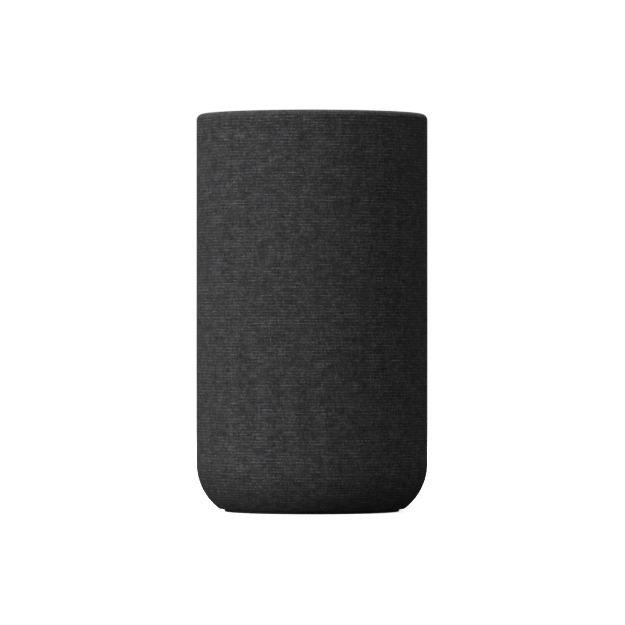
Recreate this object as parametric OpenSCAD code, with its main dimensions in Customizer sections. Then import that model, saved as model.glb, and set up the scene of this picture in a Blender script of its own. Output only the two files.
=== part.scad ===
// Compact mains-powered smart speaker: a cloth-covered cylinder with a rounded lower edge.
// Origin at the centre of the table contact, +Z up, the front of the speaker faces -Y. Millimetres.

/* [Body] */
// Outer diameter of the cloth-covered body
body_d = 123; // [121:0.5:126]
// Height from the table to the top of the rim
body_h = 211.5; // [210:0.5:216]
// Radius of the rounded lower edge
corner_r = 30; // [29:0.5:31]
// Height of the centre of the lower edge's arc
corner_z = 25.5; // [25.5:0.5:27]
// Radius of the outer edge of the top rim
rim_r = 3.2; // [2.8:0.1:3.2]
// Width of the cloth-covered top rim
rim_w = 4.5; // [4.4:0.1:4.8]

/* [Skin] */
// Thickness of the cloth
cloth_t = 0.8; // [0.6:0.1:0.9]
// Wall of the grille frame under the cloth
frame_t = 1.8; // [1.4:0.1:1.9]
// Number of sound slots around the frame
slot_columns = 36; // [24:1:40]
// Number of rows of sound slots
slot_rows = 5; // [3:1:6]
// Width of a sound slot
slot_w = 5; // [3:0.5:5.5]

/* [Foot] */
// Outer diameter of the rubber foot ring
foot_d = 93; // [90:0.5:93]
// Height that the foot lifts the body off the table
foot_h = 1.5; // [1.5:0.5:1.5]
// Radius of the bore in the stand insert, for a quarter-inch tripod thread
stand_bore_r = 2.6; // [2.5:0.05:2.7]
// Length of the stand insert
stand_len = 9; // [7:0.5:9]

/* [Acoustics] */
// Radius of the acoustic enclosure
box_r = 56; // [55.5:0.1:56]
// Wall of the acoustic enclosure
box_t = 2.6; // [2.2:0.1:2.8]
// Height of the woofer's axis
woofer_z = 91.5; // [91:0.5:92]
// Height of the tweeter's axis
tweeter_z = 149; // [148.5:0.5:150]
// Height of the passive radiators' axis
radiator_z = 91.5; // [90:0.5:100]

/* [Controls] */
// Radius of a top button
button_r = 6.6; // [6:0.1:7]
// Distance of the top buttons from the centre
button_pitch_r = 24; // [22:0.5:26]
// Travel of a top button
button_travel = 0.5; // [0.3:0.1:0.6]
// Number of status lights under the light ring
led_count = 12; // [8:1:16]

/* [Rear port] */
// Height of the centre of the rear port plate
port_z = 38; // [37.5:0.25:38.5]
// Width of the rear port plate
port_w = 48; // [47:0.5:49]
// Height of the rear port plate
port_h = 18; // [17.5:0.25:18.5]

/* [Hidden] */
$fn = 96;

eps = 0.01;
gap = 0.15; // between curved parts that fit into each other
body_r = body_d / 2;
foot_r = foot_d / 2;
corner_x = body_r - corner_r;

// Skin, from the outside in, as insets from the outer surface
frame_out = cloth_t + gap;
frame_in = frame_out + frame_t;
frame_inner_r = body_r - frame_in;
lip_r = body_r - rim_w;
rim_inner_r = rim_w - rim_r - 0.1;
hem_z = body_h - 7;
slot_z0 = 50;
slot_pitch = (body_h - 61) / slot_rows;
slot_bridge = 5;

// Base
cap_r = foot_r + 0.4;
cap_thin = 0.85;
cap_inner_r = cap_r - 3.1;
cap_top = foot_h + 3.5;
flange_z = foot_h + 0.95;
flange_top = foot_h + frame_in;
flange_inner_r = cap_inner_r + 0.2;
tray_z = cap_top + 0.1;
tray_top = tray_z + 3.1;
tray_r = 48;
boss_r = 9;
cap_screw_pitch = 34;
insert_r = 5;
insert_z = foot_h + 1.5;

// Acoustic enclosure
box_z = 52;
box_top = 172;
front_y = 41;
side_x = 42;
lid_z = box_top + 1;
lid_top = lid_z + 3;
leg_pitch = 40;
leg_r = 4.2;
leg_pad_top = 10.2;
lid_screw_xy = 35;
column_xy = [22, 35];
grommet_y = 20;
grommet_r = 6;
lead_r = 0.7;
lead_x = [1.2, 3.6];
// Routes of the leads as [y, z]
woofer_route = [[-24, 67.7], [-23, 62], [-18, 58.5], [0, 58], [14, 59], [19.4, 57.5],
                [20, 54], [20, 40], [20, 24]];
tweeter_route = [[-28.8, 149], [-20, 147.5], [-4, 138], [6, 122], [9, 95], [14, 72],
                 [19.2, 60], [20, 54], [20, 40], [20, 24]];
inlet_route = [[37.6, 38], [35.5, 37.6], [33.6, 35.5], [33, 32], [33, 26]];

// Boards
power_z = 18;
board_t = 1.6;
power_top = power_z + board_t;
power_post_xy = [15, 36];
main_z = 184;
main_top = main_z + board_t;
main_r = 47;

// Top, hung from the rim
chassis_top = body_h - 15;
chassis_z = chassis_top - 3;
chassis_r = lip_r - 0.2;
control_z = chassis_top + 3;
control_top = control_z + board_t;
control_r = 54.6;
panel_r = 52;
panel_under = body_h - 5;
panel_centre = body_h - 3;
panel_dish = 1.5;
panel_screw_pitch = 38;
mic_pitch = 44;
ring_in = 52.2;
ring_out = 55.2;
button_flange_r = button_r + 1.2;
button_flange_z = panel_under - 1;
button_dish_r = 40;

// Rear port
port_core_w = port_w - 5;
port_core_h = port_h - 3.6;
inlet_x = -7;
inlet_face_y = 56;
inlet_depth = 10;
inlet_back_y = 42;
inlet_pin_pitch = 8.6;
pairing_angle = 76.5;
pairing_r = 3.6;
port_board_r = body_r - 9.1;

// Screw sizes: head radius, head height, shank radius, length
case_screw = [3, 2, 1.1, 10];
driver_screw = [1.8, 1.3, 1, 8];
panel_screw = [2.6, 2, 1.1, 11.8];
case_pilot = 1.15;
driver_pilot = 1.05;
clear_r = 1.7;

// ---------- helpers ----------

// A rectangle in the radius and height plane
module band(r0, r1, z0, z1) {
    translate([r0, z0]) square([r1 - r0, z1 - z0]);
}

module tube(r0, r1, z0, z1) {
    rotate_extrude() band(r0, r1, z0, z1);
}

module block(x0, x1, y0, y1, z0, z1) {
    translate([x0, y0, z0]) cube([x1 - x0, y1 - y0, z1 - z0]);
}

module rod(r, z0, z1) {
    translate([0, 0, z0]) cylinder(r = r, h = z1 - z0);
}

module around(count, r, start = 0) {
    for (i = [0 : count - 1])
        rotate([0, 0, start + i * 360 / count]) translate([r, 0, 0]) children();
}

// Four copies at plus and minus x and y
module corners(x, y) {
    for (i = [-1, 1], j = [-1, 1]) translate([i * x, j * y, 0]) children();
}

// A driver's own frame: its axis along +Z and the baffle's outer face at z = 0
module on_front(z) {
    translate([0, -front_y, z]) rotate([90, 0, 0]) children();
}

module on_side(side) {
    translate([side * side_x, 0, radiator_z]) rotate([0, side * 90, 0]) children();
}

// Pan head with a cross recess, its underside at z = 0 and its shank pointing down
module screw(size) {
    head_r = size[0];
    head_h = size[1];
    slot_l = head_r * 1.1;
    difference() {
        union() {
            rotate_extrude() polygon([[0, 0], [head_r, 0], [head_r, head_h * 0.55],
                                      [head_r * 0.75, head_h], [0, head_h]]);
            rod(size[2], -size[3], eps);
        }
        for (turn = [0, 90]) rotate([0, 0, turn])
            translate([-slot_l / 2, -head_r * 0.12, head_h * 0.45])
                cube([slot_l, head_r * 0.24, head_h]);
    }
}

module stadium(w, h) {
    square([w - h, h], center = true);
    for (side = [-1, 1]) translate([side * (w - h) / 2, 0]) circle(d = h);
}

// A stadium-shaped prism that runs from y0 to y1 at the rear port
module rear_stadium(w, h, y0, y1, x = 0) {
    translate([x, y1, port_z]) rotate([90, 0, 0]) linear_extrude(y1 - y0) stadium(w, h);
}

// The pairing button's own frame: +Z points outwards from the axis of the speaker
module on_pairing() {
    translate([0, 0, port_z]) rotate([0, 0, pairing_angle]) rotate([0, 90, 0]) children();
}

function unit(v) = v / norm(v);

// A smooth route through hand-set points, with steps points to a span
function catmull(a, b, c, d, t) =
    0.5 * (2 * b + (c - a) * t + (2 * a - 5 * b + 4 * c - d) * t * t
           + (3 * b - a - 3 * c + d) * t * t * t);
function smooth(p, steps) = [
    for (i = [0 : len(p) - 2], s = [0 : steps - 1])
        catmull(p[max(i - 1, 0)], p[i], p[i + 1], p[min(i + 2, len(p) - 1)], s / steps),
    p[len(p) - 1]
];
function at_x(x, route) = smooth([for (p = route) [x, p[0], p[1]]], 3);
function tangent(p, i) = unit(p[min(i + 1, len(p) - 1)] - p[max(i - 1, 0)]);

// A round wire swept along a route that stays in a plane of constant x
module wire(route, r, sides = 8) {
    across = [1, 0, 0];
    points = [
        for (i = [0 : len(route) - 1], j = [0 : sides - 1])
            let (up = cross(tangent(route, i), across), a = j * 360 / sides)
                route[i] + r * (cos(a) * across + sin(a) * up)
    ];
    last = (len(route) - 1) * sides;
    walls = [
        for (i = [0 : len(route) - 2], j = [0 : sides - 1])
            let (a = i * sides + j, b = i * sides + (j + 1) % sides)
                each [[a, b, b + sides], [a, b + sides, a + sides]]
    ];
    ends = [
        [for (j = [sides - 1 : -1 : 0]) j],
        [for (j = [0 : sides - 1]) last + j]
    ];
    polyhedron(points, concat(walls, ends));
}

// ---------- outer skin ----------

// Everything inside the outer surface, moved inwards by inset
module skin_profile(inset) {
    band(0, body_r - inset, corner_z, body_h - rim_r);
    band(0, corner_x, foot_h + inset, corner_z);
    intersection() {
        translate([corner_x, corner_z]) circle(r = corner_r - inset);
        band(0, body_r, foot_h + inset, corner_z);
    }
}

// The section of the top rim, moved inwards by inset
module rim_profile(inset) {
    outer = rim_r - inset;
    inner = max(rim_inner_r - inset, 0.1);
    band(lip_r + inset, body_r - inset, hem_z, body_h - rim_r);
    band(lip_r + inset + inner, body_r - rim_r, hem_z, body_h - inset);
    band(lip_r + inset, body_r - rim_r, hem_z, body_h - inset - inner);
    intersection() {
        translate([lip_r + inset + inner, body_h - inset - inner]) circle(r = inner);
        band(lip_r + inset, lip_r + inset + inner, hem_z, body_h);
    }
    intersection() {
        translate([body_r - rim_r, body_h - rim_r]) circle(r = outer);
        band(body_r - rim_r, body_r, hem_z, body_h);
    }
}

// The cloth goes over the rim into the top recess, and under the frame at the foot
module fabric_sleeve() {
    color("#2e2e30") difference() {
        rotate_extrude() {
            difference() {
                skin_profile(0);
                skin_profile(cloth_t);
                band(-1, cap_r + 0.3, 0, corner_z);
            }
            difference() {
                rim_profile(0);
                rim_profile(cloth_t);
                band(0, body_r, hem_z - 1, hem_z);
                band(lip_r + cloth_t, body_r - cloth_t, hem_z - 1, hem_z + 2);
            }
        }
        rear_stadium(port_w + 0.5, port_h + 0.5, 40, 70);
    }
}

module frame_slot() {
    translate([body_r - 8, 0, 0]) rotate([90, 0, 90]) linear_extrude(12)
        translate([0, (slot_pitch - slot_bridge) / 2]) rotate([0, 0, 90])
            stadium(slot_pitch - slot_bridge, slot_w);
}

// Slotted cage that carries the cloth: a cup with an open top and a flange at the foot
module grille_frame() {
    color("#1b1b1d") difference() {
        rotate_extrude() {
            difference() {
                skin_profile(frame_out);
                skin_profile(frame_in);
                band(-1, flange_inner_r, 0, corner_z);
            }
            difference() {
                rim_profile(frame_out);
                band(0, body_r, 0, body_h - 11);
            }
            band(frame_inner_r - 0.8, body_r - frame_in + eps, body_h - 11, hem_z);
        }
        for (row = [0 : slot_rows - 1], column = [0 : slot_columns - 1])
            translate([0, 0, slot_z0 + row * slot_pitch])
                rotate([0, 0, (column + 0.5) * 360 / slot_columns]) frame_slot();
        rear_stadium(port_core_w + 0.5, port_core_h + 0.5, 40, 70);
    }
}

// ---------- base ----------

module base_cap() {
    counterbore_top = foot_h + 2.3;
    color("#161617") difference() {
        union() {
            tube(0, cap_r, foot_h, foot_h + cap_thin);
            tube(0, cap_inner_r, foot_h, cap_top);
            rod(boss_r, foot_h, insert_z + stand_len + 2);
        }
        tube(foot_r - 7.1, foot_r - 3.9, foot_h - 1, foot_h + 1.3);
        rod(insert_r + 0.05, foot_h - 1, insert_z + stand_len);
        around(4, cap_screw_pitch) {
            rod(case_screw[0] + 0.3, foot_h - 1, counterbore_top);
            rod(clear_r, foot_h, cap_top + 1);
        }
    }
}

// Ring with a rounded outer lower edge and a tongue in the cap's groove
module rubber_foot() {
    edge = 0.5;
    color("#101010") rotate_extrude() {
        band(foot_r - 8.5, foot_r, edge, foot_h);
        band(foot_r - 8.5, foot_r - edge, 0, foot_h);
        band(foot_r - 7, foot_r - 4, foot_h - eps, foot_h + 1.2);
        translate([foot_r - edge, edge]) circle(r = edge);
    }
}

module stand_insert() {
    color("#b08d4a") difference() {
        tube(stand_bore_r, insert_r, insert_z, insert_z + stand_len);
        for (z = [0.3, 0.7]) translate([0, 0, insert_z + z * stand_len])
            tube(insert_r - 0.5, insert_r + 1, -0.5, 0.5);
    }
}

// Structural floor: the cap clamps the frame's flange against it, and the enclosure stands on it
module base_tray() {
    inlet_post_top = port_z - 6.35;
    color("#252527") difference() {
        union() {
            tube(flange_inner_r, tray_r, flange_top + 0.1, tray_top);
            tube(boss_r + 0.3, flange_inner_r + eps, tray_z, tray_top);
            around(4, leg_pitch, 45) rod(6, tray_z, leg_pad_top);
            around(4, cap_screw_pitch) rod(4, tray_z, tray_top + 7.8);
            corners(power_post_xy[0], power_post_xy[1]) rod(3, tray_z, power_z);
            block(inlet_x - 7, inlet_x + 7, inlet_back_y + 0.2, 45, tray_z, inlet_post_top);
            for (side = [-1, 1])
                block(inlet_x + side * 5 - 1, inlet_x + side * 5 + 1, 41.6, 44, tray_z, 30);
        }
        around(4, leg_pitch, 45) {
            rod(case_screw[0] + 0.4, tray_z - 1, leg_pad_top - 2.6);
            rod(clear_r, tray_z, leg_pad_top + 1);
        }
        around(4, cap_screw_pitch) rod(case_pilot, tray_z - 1, tray_top + 6.5);
        corners(power_post_xy[0], power_post_xy[1]) rod(driver_pilot, tray_z + 3, power_z + 1);
    }
}

// Pan-head screws of one size: cap, tray, lid and top chassis, four each
module case_screws() {
    color("#8a8c90") {
        around(4, cap_screw_pitch)
            translate([0, 0, foot_h + 2.3]) mirror([0, 0, 1]) screw(case_screw);
        around(4, leg_pitch, 45)
            translate([0, 0, leg_pad_top - 2.6]) mirror([0, 0, 1]) screw(case_screw);
        corners(lid_screw_xy, lid_screw_xy) translate([0, 0, lid_top]) screw(case_screw);
        corners(column_xy[0], column_xy[1]) translate([0, 0, chassis_top]) screw(case_screw);
    }
}

// ---------- lower electronics ----------

module power_board() {
    color("#1f4a35") difference() {
        intersection() {
            rod(50, power_z, power_top);
            block(-60, 60, -60, 41, power_z - 1, power_top + 1);
        }
        around(4, leg_pitch, 45) rod(leg_r + 0.4, power_z - 1, power_top + 1);
        corners(power_post_xy[0], power_post_xy[1]) rod(1.5, power_z - 1, power_top + 1);
    }
}

module transformer() {
    color("#3b342a") translate([-18, -11, power_top]) {
        difference() {
            block(-13, 13, -6, 6, 2, 24);
            block(-9, -4, -7, 7, 6, 20);
            block(4, 9, -7, 7, 6, 20);
        }
        difference() {
            block(-8.8, 8.8, -11, 11, 6.2, 19.8);
            block(-4, 4, -6, 6, 6, 20);
            block(-10, -4 - eps, -6, 6, 5, 6.1);
        }
        block(-13, 13, -11, 11, 0, 2);
    }
}

module bulk_capacitors() {
    color("#23262e") for (at = [[14, -22], [32, -8]]) translate([at[0], at[1], power_top])
        rotate_extrude() difference() {
            polygon([[0, 0], [7.6, 0], [8, 0.6], [8, 2.2], [7.5, 2.7], [8, 3.2],
                     [8, 21.4], [7.4, 22], [0, 22]]);
            band(-1, 5, 21.6, 23);
        }
}

module heat_sink() {
    color("#8f9296") translate([8, 5, power_top]) {
        block(0, 34, 0, 3, 0, 26);
        for (i = [0 : 7]) block(i * 4.6, i * 4.6 + 1.6, 3 - eps, 14, 0, 26);
    }
}

// Choke, inductors, fuse, amplifier chips and the sockets for the leads
module power_board_parts() {
    color("#2a2a2c") translate([0, 0, power_top]) {
        translate([-20, 16, 0]) difference() {
            rod(8, 0, 11);
            rod(3.6, 2, 12);
        }
        for (x = [-12, -3, 6]) block(x, x + 6, -45, -39, 0, 6);
        block(-40, -34, -8, 8, 0, 6);
        for (x = [12, 26]) {
            block(x, x + 10, 1.4, 4.9, 2, 16);
            for (leg = [1.6, 4.6, 7.6]) block(x + leg, x + leg + 0.8, 2.8, 3.4, 0, 2 + eps);
        }
        block(-7, 7, grommet_y - 3, grommet_y + 3, 0, 4);
        block(inlet_x - 6, inlet_x + 6, 30, 36, 0, 6);
        rotate([0, 0, 90]) block(-9, 9, 43, 47.5, 0, 4.4);
    }
}

module inlet_mouth(grow) {
    square([6.4, 6.6 + 2 * grow], center = true);
    for (side = [-1, 1]) translate([side * 3.15, 0]) circle(r = 4.1 + grow);
}

// Two-pin figure-eight socket with a moulded body
module mains_inlet() {
    color("#141415") difference() {
        union() {
            block(inlet_x - 10, inlet_x + 10, inlet_back_y, inlet_face_y, port_z - 6.3, port_z + 6.3);
            for (side = [-1, 1]) translate([inlet_x + side * inlet_pin_pitch / 2, 0, port_z])
                block(-1.2, 1.2, inlet_back_y - 4, inlet_back_y + eps, -0.4, 0.4);
        }
        translate([inlet_x, inlet_face_y + 1, port_z]) rotate([90, 0, 0])
            linear_extrude(inlet_depth + 1) inlet_mouth(0);
        inlet_pin_rods(1.25, 1);
    }
}

module inlet_pin_rods(r, past) {
    for (side = [-1, 1])
        translate([inlet_x + side * inlet_pin_pitch / 2, inlet_face_y - 1.5, port_z])
            rotate([90, 0, 0]) rod(r, -past, inlet_depth + 1.5);
}

module inlet_pins() {
    color("#c9cacb") inlet_pin_rods(1.2, 0);
}

// Insulated leads from the inlet's tags down to the socket on the power board
module inlet_wires() {
    color("#30303a") for (side = [-1, 1])
        wire(at_x(inlet_x + side * inlet_pin_pitch / 2, inlet_route), 1);
}

// ---------- rear port ----------

// Plate that shows in the cloth's cut-out, with a collar round the inlet's mouth
module port_plate() {
    color("#1a1a1c") difference() {
        union() {
            intersection() {
                rear_stadium(port_w, port_h, 40, 70);
                tube(body_r - frame_out + 0.1, body_r - 0.1, 20, 60);
            }
            intersection() {
                rear_stadium(port_core_w, port_core_h, 40, 70);
                tube(body_r - frame_in, body_r - 0.2, 20, 60);
            }
            intersection() {
                rear_stadium(17.4, 11.2, inlet_face_y + 0.05, 70, inlet_x);
                rod(body_r - 0.2, 20, 60);
            }
            for (side = [-1, 1]) port_hook(side);
            on_pairing() corners(5.2, 3.6) rod(0.9, port_board_r, body_r - 2);
        }
        translate([inlet_x, 80, port_z]) rotate([90, 0, 0]) linear_extrude(30) inlet_mouth(0.1);
        on_pairing() rod(pairing_r + 0.2, 50, 70);
        on_pairing() translate([0, 0, body_r + 1.4]) sphere(r = 6);
    }
}

// Snap hook that grips the frame behind the plate
module port_hook(side) {
    z0 = port_core_h / 2 - 1.2;
    translate([8, 0, port_z]) mirror([0, 0, side < 0 ? 1 : 0]) {
        block(-3, 3, 55.6, 58.4, z0, z0 + 1.2);
        block(-3, 3, 55.6, 57, z0, z0 + 2.6);
    }
}

module pairing_button() {
    top = body_r - 0.4;
    color("#3a3a3d") on_pairing() difference() {
        union() {
            rotate_extrude() polygon([[0, top - 4.4], [pairing_r, top - 4.4],
                                      [pairing_r, top - 0.4], [pairing_r - 0.4, top], [0, top]]);
            tube(0, pairing_r + 1, top - 4.9, top - 4);
            rod(1.4, top - 6.2, top - 4);
        }
        translate([0, 0, top + 5.6]) sphere(r = 6);
    }
}

// Small board behind the pairing button with its switch and a cable socket
module port_board() {
    face = port_board_r;
    color("#1f4a35") on_pairing() {
        block(-6.6, 6.6, -5.5, 5.5, face - 1.2, face);
        difference() {
            block(-3, 3, -3, 3, face, face + 1.7);
            rod(1.8, face + 1.1, face + 3);
        }
        rod(1.6, face + 1.1, face + 1.9);
        block(-4, 4, -2.5, 2.5, face - 3.7, face - 1.2);
    }
}

// ---------- acoustic enclosure ----------

// Round outline with a flat front and two flat sides, moved inwards by inset
module box_outline(inset) {
    intersection() {
        circle(r = box_r - inset);
        translate([inset - side_x, inset - front_y])
            square([2 * (side_x - inset), front_y + box_r]);
    }
}

module enclosure_body() {
    inner_z = box_z + box_t;
    color("#202022") difference() {
        union() {
            translate([0, 0, box_z]) difference() {
                linear_extrude(box_top - box_z) box_outline(0);
                translate([0, 0, box_t]) linear_extrude(box_top - box_z) box_outline(box_t);
            }
            corners(lid_screw_xy, lid_screw_xy) rod(4, box_top - 22, box_top);
            around(4, leg_pitch, 45) rod(leg_r, leg_pad_top, box_z + eps);
            on_front(woofer_z) around(4, 34, 45) rod(3, -9, -box_t + eps);
            on_front(tweeter_z) around(3, 16, 90) rod(2.4, -9, -box_t + eps);
            for (side = [-1, 1]) on_side(side) around(4, 31, 45) rod(2.6, -9, -box_t + eps);
        }
        corners(lid_screw_xy, lid_screw_xy) rod(case_pilot, box_top - 12, box_top + 1);
        around(4, leg_pitch, 45) rod(case_pilot, leg_pad_top - 1, leg_pad_top + 10);
        on_front(woofer_z) {
            rod(31, -box_t - 1, 1);
            around(4, 34, 45) rod(driver_pilot, -8, 1);
        }
        on_front(tweeter_z) {
            rod(12.6, -box_t - 1, 1);
            around(3, 16, 90) rod(driver_pilot, -8, 1);
        }
        for (side = [-1, 1]) on_side(side) {
            rod(28.5, -box_t - 1, 1);
            around(4, 31, 45) rod(driver_pilot, -8, 1);
        }
        translate([0, grommet_y, 0]) rod(grommet_r, box_z - 1, inner_z + 1);
    }
}

module enclosure_gasket() {
    color("#3c3c3c") translate([0, 0, box_top]) difference() {
        linear_extrude(1) box_outline(0.2);
        translate([0, 0, -1]) linear_extrude(3) box_outline(box_t - 0.2);
    }
}

// Lid with four stepped columns that carry the main board and the top chassis
module enclosure_lid() {
    color("#202022") difference() {
        union() {
            translate([0, 0, lid_z]) linear_extrude(lid_top - lid_z) box_outline(0);
            corners(column_xy[0], column_xy[1]) {
                rod(4.5, lid_top - eps, main_z);
                rod(3.4, lid_top, chassis_z);
            }
        }
        corners(lid_screw_xy, lid_screw_xy) rod(clear_r, lid_z - 1, lid_top + 1);
        corners(column_xy[0], column_xy[1]) rod(case_pilot, chassis_z - 12, chassis_z + 1);
    }
}

// Rubber bush that seals the four leads where they pass through the floor
module cable_grommet() {
    color("#1a1a1a") translate([0, grommet_y, 0]) difference() {
        union() {
            tube(0, grommet_r - 0.1, box_z - 1, box_z + box_t + 1);
            tube(0, grommet_r + 1.4, box_z - 1.2, box_z - 0.05);
        }
        for (x = lead_x, side = [-1, 1])
            translate([side * x, 0, 0]) rod(lead_r + 0.15, box_z - 3, box_z + box_t + 3);
    }
}

// ---------- woofer ----------

module woofer_gasket() {
    color("#3c3c3c") on_front(woofer_z) difference() {
        tube(31.4, 36.6, 0, 0.8);
        around(4, 34, 45) rod(1.5, -1, 2);
    }
}

module woofer_basket() {
    color("#2b2b2e") on_front(woofer_z) difference() {
        rotate_extrude() polygon([[37, 0.8], [37, 3.2], [29, 3.2], [29, 0.8], [23.08, -12],
                                  [20.6, -12], [20.6, -13.2], [22.53, -13.2], [19.2, -20.4],
                                  [11.6, -20.4], [11.6, -22], [20.8, -22], [30.6, 0.8]]);
        around(4, 34, 45) rod(1.4, 0, 4);
        for (i = [0 : 5]) rotate([0, 0, i * 60]) {
            block(20, 36, -8, 8, -10.5, -2.5);
            block(17, 36, -6, 6, -19.4, -14.4);
        }
    }
}

module woofer_top_plate() {
    color("#777a7e") on_front(woofer_z) tube(11.4, 20.4, -26, -22);
}

module woofer_magnet() {
    color("#2c2a28") on_front(woofer_z) tube(13, 22, -34, -26);
}

// Back plate with the pole piece
module woofer_yoke() {
    color("#777a7e") on_front(woofer_z) {
        rotate_extrude() polygon([[0, -38], [20, -38], [21, -37], [21, -34], [9.1, -34],
                                  [9.1, -22], [0, -22]]);
    }
}

module woofer_cone() {
    color("#26282c") on_front(woofer_z)
        rotate_extrude() polygon([[24, 3.1], [21.8, 3.1], [10.25, -8.4], [10.25, -9.6],
                                  [21.9, 2], [24, 2.4]]);
}

module woofer_dust_cap() {
    color("#1d1f22") on_front(woofer_z) rotate_extrude() intersection() {
        difference() {
            translate([0, -24.6]) circle(r = 23.1);
            translate([0, -24.6]) circle(r = 22.5);
        }
        band(0, 12.9, -5.6, 0);
    }
}

// Former with its overhung winding
module woofer_voice_coil() {
    color("#a5692e") on_front(woofer_z) {
        tube(9.7, 10.1, -27.5, -6.5);
        tube(10.1 - eps, 10.7, -27.2, -20.8);
    }
}

// Half-roll of rubber between two glue flats: inner edge r_in, outer edge r_out
module half_roll(r_in, r_out, z, t, flat) {
    mid = (r_in + r_out) / 2;
    roll = (r_out - r_in) / 2;
    rotate_extrude() {
        intersection() {
            translate([mid, z + 0.2]) difference() {
                circle(r = roll);
                circle(r = roll - t);
            }
            band(r_in - 1, r_out + 1, z + 0.2, z + roll + 1);
        }
        band(r_out - t, r_out + flat, z, z + t);
        band(r_in - flat, r_in + t, z, z + t);
    }
}

module woofer_surround() {
    color("#151515") on_front(woofer_z) half_roll(23.6, 29.6, 3.2, 0.6, 2);
}

// Corrugated centring disc on the basket's inner ledge
module woofer_spider() {
    waves = 5;
    steps = 40;
    r0 = 10.3;
    r1 = 20.5;
    mid = [for (i = [0 : steps]) let (s = i / steps)
        [r0 + s * (r1 - r0), -11.75 + 0.9 * sin(s * waves * 360) * sin(s * 180)]];
    color("#c2a15a") on_front(woofer_z) rotate_extrude() polygon(concat(
        [for (p = mid) p + [0, 0.25]],
        [[22.8, -11.5], [22.8, -12]],
        [for (i = [steps : -1 : 0]) mid[i] - [0, 0.25]]
    ));
}

// Screws of one size for the woofer, the tweeter, both radiators and the power board
module driver_screws() {
    color("#5b5d61") {
        on_front(woofer_z) around(4, 34, 45) translate([0, 0, 3.2]) screw(driver_screw);
        on_front(tweeter_z) around(3, 16, 90) translate([0, 0, 2.4]) screw(driver_screw);
        for (side = [-1, 1]) on_side(side)
            around(4, 31, 45) translate([0, 0, 2.4]) screw(driver_screw);
        corners(power_post_xy[0], power_post_xy[1])
            translate([0, 0, power_top]) screw(driver_screw);
    }
}

// ---------- tweeter ----------

module tweeter_faceplate() {
    color("#232325") on_front(tweeter_z) difference() {
        rotate_extrude() polygon([[19, 0], [19, 2], [18.6, 2.4], [13.8, 2.4], [11.2, 1.2], [11.2, 0]]);
        around(3, 16, 90) rod(1.3, -1, 3);
    }
}

// Steel cup with the magnet and pole plate standing in it
module tweeter_motor() {
    color("#77797c") on_front(tweeter_z) rotate_extrude() {
        band(0, 12, -12, -10);
        band(10.2, 12, -12, -0.1);
        band(0, 7.6, -10 - eps, -3);
        band(0, 8, -3 - eps, -1);
    }
}

// Silk dome with its edge roll and the voice coil's former, in one piece
module tweeter_dome() {
    color("#1c1c1e") on_front(tweeter_z) rotate_extrude() {
        intersection() {
            difference() {
                translate([0, -12.2]) circle(r = 15.5);
                translate([0, -12.2]) circle(r = 15.1);
            }
            band(0, 8.7, 0.3, 6);
        }
        band(8.3, 8.6, -4, 0.7);
        band(8.4, 10.8, 0.4, 0.7);
    }
}

// ---------- passive radiators ----------

module radiator_frame(side) {
    color("#2b2b2e") on_side(side) difference() {
        rotate_extrude() {
            band(26.5, 34, 0, 2.4);
            band(26.5, 28.2, -2, eps);
        }
        around(4, 31, 45) rod(1.3, -1, 3);
    }
}

module radiator_surround(side) {
    color("#151515") on_side(side) half_roll(20, 26.4, 2.4, 0.6, 1.9);
}

// Flat diaphragm with a tuning mass at its centre
module radiator_diaphragm(side) {
    color("#303236") on_side(side) rotate_extrude() {
        polygon([[0, 0.9], [20.2, 0.9], [20.2, 2.3], [17, 2.3], [16, 1.7], [9.5, 1.7], [8.5, 3], [0, 3]]);
        band(0, 9, -1.5, 0.9 + eps);
    }
}

module left_radiator_frame() radiator_frame(-1);
module right_radiator_frame() radiator_frame(1);
module left_radiator_surround() radiator_surround(-1);
module right_radiator_surround() radiator_surround(1);
module left_radiator_diaphragm() radiator_diaphragm(-1);
module right_radiator_diaphragm() radiator_diaphragm(1);

// ---------- upper electronics ----------

module main_board() {
    color("#1f4a35") difference() {
        rod(main_r, main_z, main_top);
        corners(column_xy[0], column_xy[1]) rod(3.6, main_z - 1, main_top + 1);
    }
}

// Shield cans, memory, radio module with two antennas, and cable sockets
module main_board_parts() {
    color("#9a9da1") translate([0, 0, main_top]) {
        block(-13, 11, -28, -6, 0, 3);
        block(16, 32, -14, 8, 0, 2.4);
        for (y = [-24, -12]) block(-26, -17, y, y + 8, 0, 1.2);
        block(38.5, 39.5, -9, 9, 0, 5);
        block(-9, 9, -39.5, -38.5, 0, 5);
        block(-6, 6, 1.2, 5.2, 0, 2.6);
        rotate([0, 0, 90]) block(-9, 9, 36, 41, 0, 2.6);
    }
}

// Flat cables: power board to main board outside the enclosure, main board to control board
module board_ribbon() {
    strip = 0.4;
    outer_y = 57;
    low_z = power_top + 4.4;
    high_z = main_top + 2.6;
    color("#c8c4b4") {
        rotate([0, 0, 90]) {
            block(-8, 8, outer_y, outer_y + strip, low_z, high_z + strip);
            block(-8, 8, 44, outer_y + eps, low_z, low_z + strip);
            block(-8, 8, 37, outer_y + eps, high_z, high_z + strip);
        }
        block(-5, 5, 3, 3 + strip, high_z, control_z);
    }
}

// Plate that centres the frame's rim, with a collar behind the cloth's hem
module top_chassis() {
    color("#252527") difference() {
        union() {
            tube(14, chassis_r, chassis_z, chassis_top);
            tube(chassis_r - 1.2, chassis_r, chassis_top - eps, body_h - 3.6);
            around(4, panel_screw_pitch) rod(3, chassis_z, control_z);
        }
        corners(column_xy[0], column_xy[1]) rod(clear_r, chassis_z - 1, chassis_top + 1);
        around(4, panel_screw_pitch) rod(1.6, chassis_z - 1, control_z + 1);
    }
}

module control_board() {
    color("#1f4a35") difference() {
        rod(control_r, control_z, control_top);
        around(4, panel_screw_pitch) rod(1.6, control_z - 1, control_top + 1);
    }
}

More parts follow.
